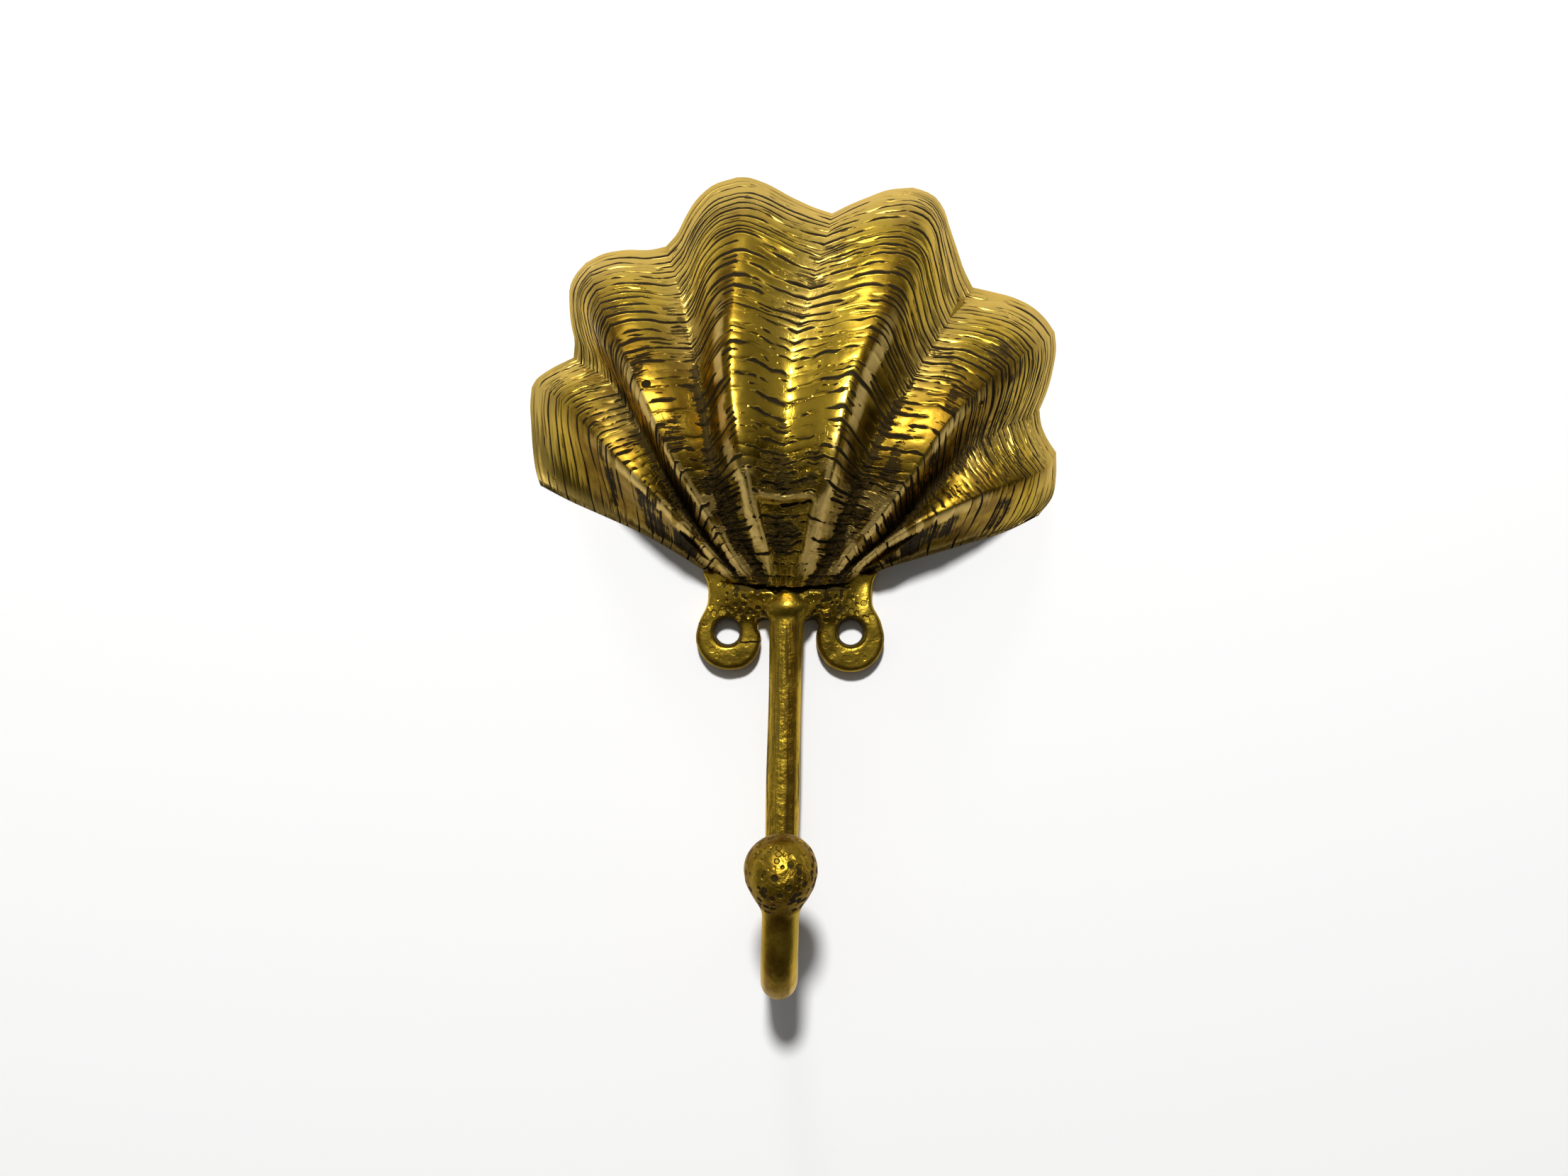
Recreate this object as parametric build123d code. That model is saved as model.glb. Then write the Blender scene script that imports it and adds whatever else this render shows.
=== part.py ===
from build123d import *
import os
from math import cos, pi, radians, sin, sqrt

# A wall hook cast in one piece of brass: a hollow scallop stands over a neck with two screw
# ears, and a round stem runs down from the neck and turns forward and up to a ball.
# Millimetres. The wall is the plane Y = 0, the hook faces -Y and +Z is up. The origin lies on
# the wall, midway between the two screw holes.

# Screw ears and the neck between them
HOLE_SPACING = 24.0
HOLE_RADIUS = 2.5
HOLE_LIP = 0.5              # chamfer of a hole's front edge
EAR_RADIUS = 6.4
EAR_DROP = 1.0              # an ear's centre lies this far under its hole's
EAR_THICKNESS = 3.6
EAR_ROUNDING = 1.1
WAIST_WIDTH = 32.0          # the narrowest of the neck, over the ears
WAIST_Z = 7.3
WAIST_ROUNDING = 6.0
NECK_TOP_WIDTH = 37.0
NECK_TOP_Z = 14.0           # the neck ends inside the solid foot of the scallop
GAP_TOP_Z = 3.3             # top of the two gaps beside the stem
GAP_ROUNDING = 1.2
SADDLE_DEPTH = 8.4          # the thick web across the neck, at its top
SADDLE_FOOT = 0.5           # at the gaps it stands this proud of the ears
SADDLE_WIDTHS = (25.0, 32.0)        # at the gaps and at the top
SADDLE_ROUNDING = 3.5

# Stem, bend and ball
STEM_RADIUS = 3.2
STEM_X = -0.4               # where the stem's axis leaves the neck
STEM_DEPTH = 5.8            # the stem's axis in front of the wall
STEM_LEAN = 1.3             # degrees towards -X on the way down
BOSS_RADIUS = 4.4           # knob that the stem grows out of
BOSS_Z = 5.6
BEND_RADIUS = 12.0
BEND_Z = -49.9              # height of the bend's centre
RISE = 12.8                 # from the end of the bend up to the ball's centre
RISE_LEAN = 11.0            # degrees forward on the way up
BALL_RADIUS = 6.1

# Scallop: seven valleys run from the beak, low over the neck, out to the rim on the wall
APEX_Z = 4.5                # rim points are given by direction and distance from here
BEAK_Z = 8.3                # the beak is cut off level here
SCALLOP_REACH = 78.0        # apex to the rim, in the deepest valley
SCALLOP_DEPTH = 24.0        # wall to the top of the valleys
SCALLOP_WALL = 3.0
FOOT_HEIGHT = 6.0           # the beak is solid this far above its cut
BEAK_SHARE = 0.36           # depth of the beak's cut, as a share of the depth
BEAK_SLOPE_END = 0.36       # where the beak's slope runs out, as a share of the reach
BEAK_SLOPE_POWER = 2.2
ARCH_POWERS = (2.4, 1.7)    # roundness of the scallop across its ribs
RIM_POWERS = (3.5, 1.5)     # and along its ribs, down to the rim
# Each valley: its X at the beak, its direction from +X in degrees and its reach at the rim, as
# a share of the largest, and how far its middle bows towards -X. The first and the last are the
# straight lower edges, which lie on the wall.
VALLEYS = [
    (10.0, 20.8, 0.667, 0.0), (7.2, 38.6, 0.803, 0.7), (4.4, 60.3, 0.931, 3.0),
    (-1.0, 83.8, 1.0, 3.8), (-3.8, 108.8, 0.963, 3.4), (-6.0, 130.5, 0.832, 0.0),
    (-7.7, 153.7, 0.701, 0.0),
]
# Each rib: how far its crest reaches past its valleys at the rim, and its height over them
RIBS = [(4.2, 3.6), (9.6, 5.2), (12.4, 5.6), (10.6, 5.6), (10.0, 5.2), (6.2, 3.8)]
RIB_START = 0.1             # a rib's height at the beak, as a share of its full height
RIB_FULL_AT = 0.7           # where it has its full height, as a share of the reach
HOLLOW_RIBS = 0.5           # the ribs show this much in the hollow
VALLEY_ROUNDING = 0.3       # 0 leaves the valleys sharp
POINTS_PER_RIB = 6
# The growth bands: where one straight band meets the next, as shares of the reach
BANDS = [0.0, 0.1, 0.22, 0.36, 0.52, 0.66, 0.78, 0.87, 0.94, 0.98, 1.0]
SLIVER = 0.01               # two corners nearer than this are the same

FIRST_EDGE, LAST_EDGE = VALLEYS[0][1], VALLEYS[-1][1]
MID_ANGLE = (FIRST_EDGE + LAST_EDGE) / 2
HALF_FAN = (LAST_EDGE - FIRST_EDGE) / 2


def heading(angle):
    """The unit vector on the wall in a direction from +X."""
    return Vector(cos(radians(angle)), 0, sin(radians(angle)))


def lobe(share):
    """A rib's section: 0 in its two valleys and 1 on its crest."""
    wave = sqrt(sin(pi * share) ** 2 + VALLEY_ROUNDING ** 2) - VALLEY_ROUNDING
    return wave / (sqrt(1 + VALLEY_ROUNDING ** 2) - VALLEY_ROUNDING)


def valley_point(valley, along, inset, cut_z):
    """A point of a valley's line, seen square on the wall, from the beak (0) to the rim (1).

    inset moves the whole fan in by one wall thickness, for the hollow, and cut_z is its beak.
    """
    beak_x, angle, reach, bow = valley
    step_in = inset / sin(radians(HALF_FAN))
    apex = Vector(0, 0, APEX_Z) + heading(MID_ANGLE) * step_in
    end = SCALLOP_REACH * reach - inset - step_in * cos(radians(angle - MID_ANGLE))
    rim = apex + heading(angle) * end
    spread = (cut_z - apex.Z) / (BEAK_Z - APEX_Z)
    beak = Vector(apex.X + beak_x * spread, 0, cut_z)
    sideways = heading(angle + 90) * (4 * along * (1 - along) * bow)
    return beak + (rim - beak) * along + sideways


def scallop_point(rib, share, along, inset, cut_z):
    """A point of the scallop's outside, or of a like form that lies inset inside it."""
    low, high = VALLEYS[rib], VALLEYS[rib + 1]
    swell, rib_height = RIBS[rib]
    if inset:
        rib_height *= HOLLOW_RIBS
    low_point = valley_point(low, along, inset, cut_z)
    high_point = valley_point(high, along, inset, cut_z)
    angle = low[1] + (high[1] - low[1]) * share
    place = low_point + (high_point - low_point) * share
    place += heading(angle) * (swell * lobe(share) * along ** 2)

    across = min(1.0, abs(angle - MID_ANGLE) / HALF_FAN)
    arch = (1 - across ** ARCH_POWERS[0]) ** (1 / ARCH_POWERS[1])
    slope = max(0.0, 1 - along / BEAK_SLOPE_END) ** BEAK_SLOPE_POWER
    climb = 1 - (1 - BEAK_SHARE) * slope
    fall = (1 - along ** RIM_POWERS[0]) ** (1 / RIM_POWERS[1])
    growth = RIB_START + (1 - RIB_START) * min(1.0, along / RIB_FULL_AT)
    height = (SCALLOP_DEPTH - inset) * climb + rib_height * lobe(share) * growth
    return place - Vector(0, height * arch * fall, 0)


def scallop_body(inset, cut_z):
    """The closed form between the wall and the scallop's surface, above a level cut."""
    spots = [
        (rib, step / POINTS_PER_RIB) for rib in range(len(RIBS)) for step in range(POINTS_PER_RIB)
    ]
    spots.append((len(RIBS) - 1, 1.0))
    curves = [
        Edge.make_spline([scallop_point(*spot, along, inset, cut_z) for spot in spots])
        for along in BANDS
    ]
    steps = list(zip(curves, curves[1:]))
    bands = [Face.make_surface_from_curves(low, high) for low, high in steps]
    sides = [Edge.make_line(low @ end, high @ end) for low, high in steps for end in (0, 1)]
    closing = Edge.make_line(curves[0] @ 1, curves[0] @ 0)
    cut = Face(Wire([curves[0], closing]))
    back = Face(Wire.combine([closing, curves[-1], *sides])[0])
    return Solid(Shell([*bands, cut, back]))


def scallop():
    """The hollow scallop: its outside less the same form one wall thickness inside it."""
    outside = scallop_body(0, BEAK_Z)
    hollow = scallop_body(SCALLOP_WALL, BEAK_Z + FOOT_HEIGHT)
    return outside - hollow


def neck():
    """The two screw ears and the neck, flat on the wall, with the thick web across them."""
    ear_x = HOLE_SPACING / 2
    inner_x, outer_x = ear_x - EAR_RADIUS, ear_x + EAR_RADIUS
    half = [
        (inner_x, GAP_TOP_Z), (inner_x, -EAR_DROP), (outer_x, -EAR_DROP),
        (WAIST_WIDTH / 2, WAIST_Z), (NECK_TOP_WIDTH / 2, NECK_TOP_Z),
    ]
    outline = Polygon(*half, *[(-x, z) for x, z in reversed(half)], align=None)
    outline += Pos(ear_x, -EAR_DROP) * Circle(EAR_RADIUS)
    outline += Pos(-ear_x, -EAR_DROP) * Circle(EAR_RADIUS)
    corners = outline.vertices()
    waist = [v for v in corners if abs(v.Y - WAIST_Z) < SLIVER]
    outline = fillet(waist, WAIST_ROUNDING)
    gap_tops = [v for v in outline.vertices() if abs(v.Y - GAP_TOP_Z) < SLIVER]
    outline = fillet(gap_tops, GAP_ROUNDING)
    outline -= Pos(ear_x, 0) * Circle(HOLE_RADIUS) + Pos(-ear_x, 0) * Circle(HOLE_RADIUS)
    plate = extrude(Plane.XZ * outline, amount=EAR_THICKNESS)
    front = plate.faces().sort_by(Axis.Y)[0]
    plate = fillet(front.outer_wire().edges(), EAR_ROUNDING)
    lips = plate.faces().sort_by(Axis.Y)[0].inner_wires()
    plate = chamfer([edge for lip in lips for edge in lip.edges()], HOLE_LIP)

    depths = (EAR_THICKNESS + SADDLE_FOOT, SADDLE_DEPTH)
    sections = [
        Pos(0, 0, z) * RectangleRounded(width, 2 * depth, SADDLE_ROUNDING)
        for z, width, depth in zip((GAP_TOP_Z, NECK_TOP_Z), SADDLE_WIDTHS, depths)
    ]
    saddle = split(loft(sections), Plane.XZ)
    return plate + saddle


def stem():
    """The boss, the round stem down from it, the bend, and the ball on the risen end."""
    lean = radians(STEM_LEAN)
    # The stem's plane: x runs forward and y up along the leaning stem
    frame = Plane(
        (STEM_X, -STEM_DEPTH, BOSS_Z), x_dir=(0, -1, 0), z_dir=(-cos(lean), 0, sin(lean))
    )
    down = Line((0, 0), (0, (BEND_Z - BOSS_Z) / cos(lean)))
    bend = JernArc(down @ 1, down % 1, BEND_RADIUS, 180 - RISE_LEAN)
    rise = Line(bend @ 1, bend @ 1 + (bend % 1) * RISE)
    path = frame * (down + bend + rise)
    section = Plane(path @ 0, z_dir=path % 0) * Circle(STEM_RADIUS)
    rod = sweep(section, path)
    ball = Pos(*(path @ 1)) * Sphere(BALL_RADIUS)
    boss = Pos(STEM_X, -STEM_DEPTH, BOSS_Z) * Sphere(BOSS_RADIUS)
    return rod + ball + boss


os.makedirs("parts", exist_ok=True)
hook = scallop() + neck() + stem()
export_step(hook, "parts/scallop_hook.step")
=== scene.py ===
import functools
import math

import bpy
import numpy as np
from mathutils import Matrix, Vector
from mathutils.geometry import tessellate_polygon


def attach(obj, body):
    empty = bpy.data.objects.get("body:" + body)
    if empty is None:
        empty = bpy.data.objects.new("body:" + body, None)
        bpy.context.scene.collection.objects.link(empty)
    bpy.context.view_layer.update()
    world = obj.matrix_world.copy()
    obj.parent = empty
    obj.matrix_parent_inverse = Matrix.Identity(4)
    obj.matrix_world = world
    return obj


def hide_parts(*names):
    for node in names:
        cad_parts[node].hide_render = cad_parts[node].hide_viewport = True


# The hook is one casting: a fluted scallop, hollow behind, over a neck with two screw ears, and
# a round stem that turns forward and up to a ball. Lengths here are in millimetres, X right,
# Y into the wall and Z up from midway between the screw holes. A depth is measured out of the
# wall.

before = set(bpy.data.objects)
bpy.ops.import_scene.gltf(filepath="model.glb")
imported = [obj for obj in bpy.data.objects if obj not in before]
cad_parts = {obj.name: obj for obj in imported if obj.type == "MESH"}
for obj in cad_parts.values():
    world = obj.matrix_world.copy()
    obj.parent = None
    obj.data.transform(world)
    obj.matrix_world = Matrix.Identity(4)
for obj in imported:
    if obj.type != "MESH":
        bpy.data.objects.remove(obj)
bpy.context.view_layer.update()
METRE = 0.001

# Lines of the scallop, beak to rim, as (x, z, depth), from its right lower edge to its left one.
# A foot is where one rib's steep outer side meets the gentle inner side of the next.
FEET = [
    [(12.9, 9.4, 0), (17.6, 11.9, 0), (26.0, 14.6, 0), (32.9, 16.7, 0), (44.0, 20.4, 0),
     (48.9, 22.9, 0)],
    [(8.8, 9.2, 7.0), (13.5, 14.2, 8.6), (16.7, 16.9, 9.6), (19.7, 19.7, 10.8), (22.7, 22.7, 11.8),
     (25.5, 25.5, 12.4), (28.1, 28.6, 12.6), (31.2, 31.9, 12.2), (34.2, 34.9, 11), (37.2, 37.1, 9.4),
     (40.2, 38.8, 7.4), (43.4, 40.4, 5), (46.2, 41.8, 2.6), (49.1, 43.6, 0)],
    [(4.6, 8.9, 8.2), (7.1, 13.6, 9.8), (8.5, 17.2, 12.0), (10.0, 21.0, 14.6), (11.5, 24.7, 17),
     (12.8, 28.3, 19), (14.2, 31.6, 20.4), (16.0, 35.3, 20.6), (18.0, 38.8, 20.2), (20.0, 42.4, 19.2),
     (22.1, 45.9, 17.8), (24.3, 49.8, 15.6), (26.6, 53.6, 13.2), (28.8, 57.2, 10.8), (31.2, 60.8, 7),
     (33.4, 63.8, 3.6), (36.0, 67.6, 0)],
    [(-1.2, 8.7, 8.6), (-1.4, 13.8, 12.4), (-1.4, 18.4, 16.4), (-1.3, 25, 21.6), (-0.9, 32, 24),
     (-0.6, 38, 24), (-0.1, 44, 22.8), (0.9, 52.4, 20.6), (2.6, 58.5, 18.4), (4.4, 65.0, 15),
     (6.1, 71.6, 10.8), (7.5, 77.4, 5.8), (8.45, 82.1, 0)],
    [(-4.8, 9.2, 8.2), (-6.1, 12.6, 9.6), (-8.0, 15.2, 11.2), (-9.7, 17.8, 13), (-10.9, 20.6, 15.2),
     (-11.7, 23.7, 17.8), (-12.8, 26.4, 20), (-13.6, 30, 21.6), (-14.4, 34, 21.8), (-15.2, 39.0, 21.4),
     (-16.4, 44.9, 20), (-17.3, 49.6, 18), (-18.2, 54.4, 15.6), (-19.2, 59.2, 12.8),
     (-20.4, 64.0, 9.6), (-21.7, 68.0, 6.6), (-22.9, 71.6, 3.2), (-24.2, 75.6, 0)],
    [(-8.4, 9.4, 6.8), (-11.6, 12.6, 8.2), (-13.7, 15.3, 9.4), (-15.5, 17.6, 10.4), (-17.3, 20.2, 11.6),
     (-19.3, 23.3, 13), (-21.1, 26.2, 14.2), (-23.2, 29.7, 15), (-25.3, 33.8, 15.4), (-27.8, 38.0, 14),
     (-30.1, 41.9, 11.8), (-32.2, 45.2, 9.2), (-34.4, 48.0, 6.6), (-37.0, 50.2, 4), (-39.6, 51.8, 1.8),
     (-42.3, 53.8, 0)],
    [(-13.2, 9.5, 0), (-15.9, 11.5, 0), (-22.7, 15.8, 0), (-29.6, 19.7, 0), (-36.6, 22.9, 0),
     (-43.5, 26, 0), (-48.8, 28.8, 0)],
]
CRESTS = [
    [(11.0, 9.6, 6.0), (13.2, 13.0, 9), (16.1, 15.5, 11), (19.5, 18.1, 13.2), (23.3, 20.4, 14.8),
     (27.5, 22.4, 15.4), (32.4, 24.6, 15), (37.3, 26.7, 13.4), (41.9, 28.5, 11), (46.8, 30.3, 7.6),
     (50.4, 32.5, 3.6), (52.4, 35.2, 0)],
    [(6.6, 9.2, 8.8), (9.1, 12.9, 10.6), (11.4, 15.9, 12.6), (13.9, 18.8, 15), (16.3, 21.8, 17.4),
     (19.0, 25.5, 19.8), (21.7, 29.3, 21.4), (24.5, 33.2, 22), (27.4, 37.2, 21.6), (31.0, 41.4, 20.2),
     (34.8, 45.1, 18), (39.2, 48.9, 15), (43.9, 52.4, 11), (48.2, 55.4, 6), (52.1, 58.8, 0)],
    [(1.6, 8.8, 9.8), (2.8, 12.5, 12.6), (3.4, 15.1, 15.6), (4.6, 20.0, 20.5), (6.3, 26.0, 25.4),
     (7.6, 31.2, 27.5), (8.6, 36.0, 27.4), (9.9, 41.8, 26.3), (11.3, 47.2, 25), (13.6, 52.8, 23.4),
     (16.3, 59.5, 20.6), (18.6, 66.5, 17), (20.4, 72.4, 13.4), (22.1, 78.6, 9.2), (23.4, 83.6, 4.6),
     (24.2, 87.2, 0)],
    [(-2.8, 8.8, 9.8), (-3.8, 13.2, 12.6), (-5.0, 17.6, 17.5), (-6.8, 23.6, 23), (-8.0, 29.6, 26.6),
     (-9.1, 34.8, 27.6), (-10.0, 41.2, 26.8), (-10.5, 48.4, 25.3), (-10.4, 55.2, 23.4),
     (-10.1, 61.0, 21), (-9.9, 67.2, 17.8), (-9.8, 73.6, 13.8), (-9.7, 79.2, 9.6), (-9.8, 84.6, 4.6),
     (-10.2, 89.2, 0)],
    [(-6.2, 9.1, 8.8), (-8.7, 12.0, 10.4), (-10.6, 14.8, 12.4), (-12.6, 18.3, 15.2), (-14.8, 21.8, 18),
     (-17.0, 25.4, 20.6), (-19.1, 29.0, 22.6), (-21.0, 32.3, 23.8), (-22.9, 36.3, 24.2),
     (-25.2, 41.1, 23.6), (-27.3, 45.7, 22.3), (-29.6, 50.4, 20.4), (-32.0, 55.4, 17.8),
     (-34.2, 59.6, 14.6), (-36.0, 64.0, 10.4), (-38.0, 68.4, 5.6), (-39.9, 72.4, 0)],
    [(-10.2, 9.6, 6.0), (-12.8, 13.0, 9), (-15.1, 15.8, 11), (-18.2, 19.1, 13.6), (-21.0, 21.9, 15.6),
     (-24.0, 25.1, 17), (-27.1, 28.2, 17.6), (-30.5, 31.5, 17.4), (-33.8, 34.8, 16.4),
     (-37.2, 38.4, 14.2), (-40.2, 41.4, 11.6), (-43.4, 44.2, 8), (-46.8, 46.5, 4), (-50.5, 48.0, 0)],
]
# The rim on the wall between a valley and a crest, as (x, z): right to left, two to a rib
RIM = [
    [(51.7, 26.7), (52.4, 30.8)], [(50.7, 37.8), (49.5, 40.6)],
    [(50.7, 47.5), (51.8, 51.7), (52.4, 55.9)],
    [(50.3, 61.4), (47.5, 63.9), (44, 65.6), (39.9, 66.7)],
    [(34.3, 71.1), (32.9, 75.3), (31.5, 79.5), (30.4, 82.9), (28.5, 85.5), (26, 86.7)],
    [(19, 86.6), (15.5, 85.3), (12.1, 83.9)],
    [(5.1, 83.2), (0.9, 85.1), (-5.3, 88.3), (-8.4, 89.2)],
    [(-15, 87.6), (-18.5, 84.4), (-20.6, 80.9), (-22, 78.1)],
    [(-26.9, 75), (-32.4, 74.9), (-36.6, 74.1)],
    [(-42.1, 69.8), (-43, 67.7), (-43.1, 64.2), (-42.7, 60), (-42.1, 57.3)],
    [(-43.8, 53.1), (-47.7, 51), (-49.6, 49.5)],
    [(-50.8, 44.7), (-50.6, 40.6), (-50.2, 35), (-49.5, 30.8)],
]
BANDS = 41                                   # growth lines from beak to rim
PHASES = (0.0, 0.09, 0.24, 0.5, 0.76, 0.91)  # rows of the mesh within a band
OUTER_COLUMNS = 15                           # columns of the mesh on a rib's steep side
INNER_COLUMNS = 25                           # and on its gentle side
THICKNESS = 3.0                              # of the scallop's casting
HOLLOW_ROWS = 22
HOLLOW_SMOOTHING = 40                        # rounds that soften the ribs in the hollow
CENTRE = np.array([0.0, 40.0])               # middle of the scallop's outline on the wall
LEDGE = 0.235                                # share of the length where the middle field ends


def line(points):
    """A smooth curve through points, as a function of the share of its length."""
    p = np.array(points, float)
    d = np.r_[0, np.cumsum(np.linalg.norm(np.diff(p, axis=0), axis=1))]
    d /= d[-1]
    slope = np.gradient(p, d, axis=0)

    def at(t):
        t = np.clip(np.asarray(t, float), 0, 1)
        i = np.clip(np.searchsorted(d, t, side="right") - 1, 0, len(d) - 2)
        h = (d[i + 1] - d[i])[..., None]
        w = (t - d[i])[..., None] / h
        return (
            (2 * w**3 - 3 * w**2 + 1) * p[i]
            + (w**3 - 2 * w**2 + w) * h * slope[i]
            + (3 * w**2 - 2 * w**3) * p[i + 1]
            + (w**3 - w**2) * h * slope[i + 1]
        )

    return at


def smooth(a, b, x):
    """0 on the side of a, 1 on the side of b, and a smooth step between them."""
    w = np.clip((x - a) / (b - a), 0, 1)
    return w * w * (3 - 2 * w)


def soft_noise(shape, cells, seed):
    """Smooth noise from -1 to 1 on a grid of that shape, with so many cells each way."""
    r = np.random.default_rng(seed)
    knots = r.uniform(-1, 1, (cells[0] + 4, cells[1] + 4))
    out = knots
    for axis in (0, 1):
        x = np.linspace(1, cells[axis] + 1, shape[axis])
        i = np.minimum(x.astype(int), cells[axis] + 1)
        w = x - i
        a, b, c, d = (np.take(out, i + k, axis) for k in (-1, 0, 1, 2))
        w = w[:, None] if axis == 0 else w[None, :]
        out = b + 0.5 * w * (c - a + w * (2 * a - 5 * b + 4 * c - d + w * (3 * (b - c) + d - a)))
    return np.clip(out, -1, 1)


foot_lines = [line(f) for f in FEET]
crest_lines = [line(c) for c in CRESTS]


def scallop_grid(t):
    """Points (x, z, depth) of the scallop's outside, and how each lies across its rib.

    t is a grid of shares from beak to rim. Besides the points come 1 on the steep sides and 0 on
    the gentle ones, and the distances from the foot and from the crest.
    """
    parts, sides, feet, crests = [], [], [], []
    column = 0
    for half in range(12):
        rib, first = half // 2, half % 2 == 0
        foot_line, crest_line = foot_lines[rib + (0 if first else 1)], crest_lines[rib]
        # a rib's steep side faces away from the middle of the fan
        outer = first == (rib < 3)
        count = OUTER_COLUMNS if outer else INNER_COLUMNS
        w = np.arange(count + (half == 11)) / count
        w = w if first else 1 - w                        # 0 at the foot, 1 on the crest
        tt = t[:, column:column + len(w)]
        column += len(w)
        foot, crest = foot_line(tt), crest_line(tt)
        if outer:
            rise = smooth(0.0, 1.0, w[None] ** 1.1) * np.ones(tt.shape)
        else:
            # the two middle ribs swing into their feet, the others stand domed on them
            power, swing = (1.0, 0.95) if rib in (2, 3) else (0.8, 0.3)
            dome = 1 - (1 - w[None]) ** (1.35 + 0.75 * smooth(0.2, 0.5, tt))
            rise = dome * (1 - swing) + smooth(0.0, 1.0, w[None] ** power) * swing
        p = foot + (crest - foot) * w[None, :, None]
        p[..., 2] = foot[..., 2] + (crest - foot)[..., 2] * rise
        # the rim's own outline, fading inwards
        ends = (foot_line(np.ones(1))[0][:2], crest_line(np.ones(1))[0][:2])
        route = [ends[0], *(RIM[half] if first else RIM[half][::-1]), ends[1]]
        chord = ends[0] + (ends[1] - ends[0]) * w[:, None]
        fade = smooth(0.3, 1.0, tt)[..., None]
        p[..., :2] += (line(route)(w) - chord)[None] * fade
        parts.append(p)
        sides.append(np.full(tt.shape, 1.0 if outer else 0.0))
        feet.append(np.linalg.norm(p - foot, axis=2))
        crests.append(np.linalg.norm(p - crest, axis=2))
    return [np.concatenate(a, 1) for a in (parts, sides, feet, crests)]


def normals_of(grid):
    """Unit normals of a grid of points, out of the wall."""
    across, along = np.gradient(grid, axis=1), np.gradient(grid, axis=0)
    n = np.cross(across, along)
    n /= np.maximum(np.linalg.norm(n, axis=2, keepdims=True), 1e-9)
    return n * np.where(n[..., 2:].mean() < 0, -1, 1)


# The outside of the scallop. The growth lines are unevenly spaced and wander a little.
row_cell = np.array([b + ph for b in range(BANDS) for ph in PHASES] + [BANDS], float)
total = 6 * (OUTER_COLUMNS + INNER_COLUMNS) + 1
shape = (len(row_cell), total)
drift = 0.3 * soft_noise(shape, (8, 16), 3) + 0.12 * soft_noise(shape, (20, 60), 4)
ends_free = np.minimum(1, np.minimum(row_cell, BANDS - row_cell) / 3)[:, None]
spacing = np.random.default_rng(7).uniform(0.65, 1.4, BANDS)
places = np.r_[0, np.cumsum(spacing)] / spacing.sum()
t = np.interp(row_cell, np.arange(BANDS + 1), places)[:, None] + drift * ends_free / BANDS
t[0], t[-1] = 0, 1
grid, steep, foot_mm, crest_mm = scallop_grid(t)

# Each band swells a little between its two lines, which are cut in here and there
phase = (row_cell % 1)[:, None]
pillow = 1 - (2 * phase - 1) ** 2
groove = np.exp(-(((phase + 0.5) % 1 - 0.5) / 0.075) ** 2)
worn = np.exp(-(crest_mm / 2.2) ** 2)
strength = 0.5 + 0.5 * soft_noise(shape, (BANDS, 44), 5)
cut = np.clip(0.25 + 0.9 * soft_noise(shape, (BANDS, 50), 6), 0, 1) * (1 - 0.6 * worn)
# place counts the ribs from the right lower edge, with the valleys at whole numbers; the two
# lowest flanks have a line only at every other band
place = np.arange(total) / (OUTER_COLUMNS + INNER_COLUMNS)
sparse = (1 - smooth(0.34, 0.4, place) + smooth(5.6, 5.66, place))[None] * np.ones(shape)
odd_line = np.floor(row_cell + 0.5)[:, None] % 2
cut = cut * (1 - 0.9 * odd_line * sparse)
near_beak = 1 - smooth(0.25, 0.42, t)
groove_depth = 0.3 + 0.14 * smooth(0.45, 0.6, t)
relief = 0.08 * strength * pillow * (1 - 0.5 * worn) - groove_depth * cut * groove
lumps = 0.2 * soft_noise(shape, (22, 36), 8) + 0.11 * soft_noise(shape, (60, 100), 9)
relief += lumps * (1 - 0.8 * worn) * (0.22 + 0.78 * np.maximum(near_beak, 0.7 * steep))
# the field between the two middle crests ends in a low ridge, with a dark dip below it
middle = (smooth(2.45, 2.6, place) * (1 - smooth(3.4, 3.55, place)))[None]
ridge = 0.45 * np.exp(-((t - LEDGE - 0.003) / 0.007) ** 2)
ridge = ridge - smooth(LEDGE, LEDGE - 0.02, t) * smooth(0.04, 0.12, t)
boss = np.exp(-((((grid[..., 0] + 1.4) / 3.1) ** 2 + ((grid[..., 1] - 18.0) / 3.4) ** 2) ** 2))
relief += middle * (ridge + 0.7 * boss)
# plain along the rim and the lower edges
rim_band = smooth(0.972, 0.985, t[:, total // 2])[:, None]
edge = np.minimum(np.arange(total), np.arange(total)[::-1])[None, :] / OUTER_COLUMNS
relief *= (1 - rim_band) * smooth(0.0, 0.12, edge)
front = grid + normals_of(grid) * relief[..., None]
front[..., 2] = np.maximum(front[..., 2], 0)

# Dirt lies at the feet of the ribs, all over near the beak but for the crests, and on the ledge
foot_dirt = np.exp(-(foot_mm / (1.1 + 1.1 * near_beak)) ** 2)
open_end = 1 - 0.75 * smooth(0.45, 0.8, t)
centre_foot = (smooth(2.3, 2.7, place) * (1 - smooth(3.3, 3.7, place)))[None]
foot_dirt = foot_dirt * open_end * (1 - 0.8 * centre_foot)
blob = smooth(-0.15, 0.15, soft_noise(shape, (26, 15), 31) + 0.3 * soft_noise(shape, (70, 60), 32))
below_ledge = middle * smooth(LEDGE + 0.01, LEDGE - 0.01, t)
beak_dirt = 0.9 * near_beak * smooth(1.2, 2.6, crest_mm) * (1 - 0.4 * steep)
beak_dirt = beak_dirt * (0.12 + 0.88 * blob) * (1 - 0.75 * below_ledge)
upper_valley = np.exp(-((place - 3.0) / 0.22) ** 2)[None]
upper_valley = upper_valley * smooth(0.55, 0.66, t) * (1 - smooth(0.84, 0.93, t))
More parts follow.
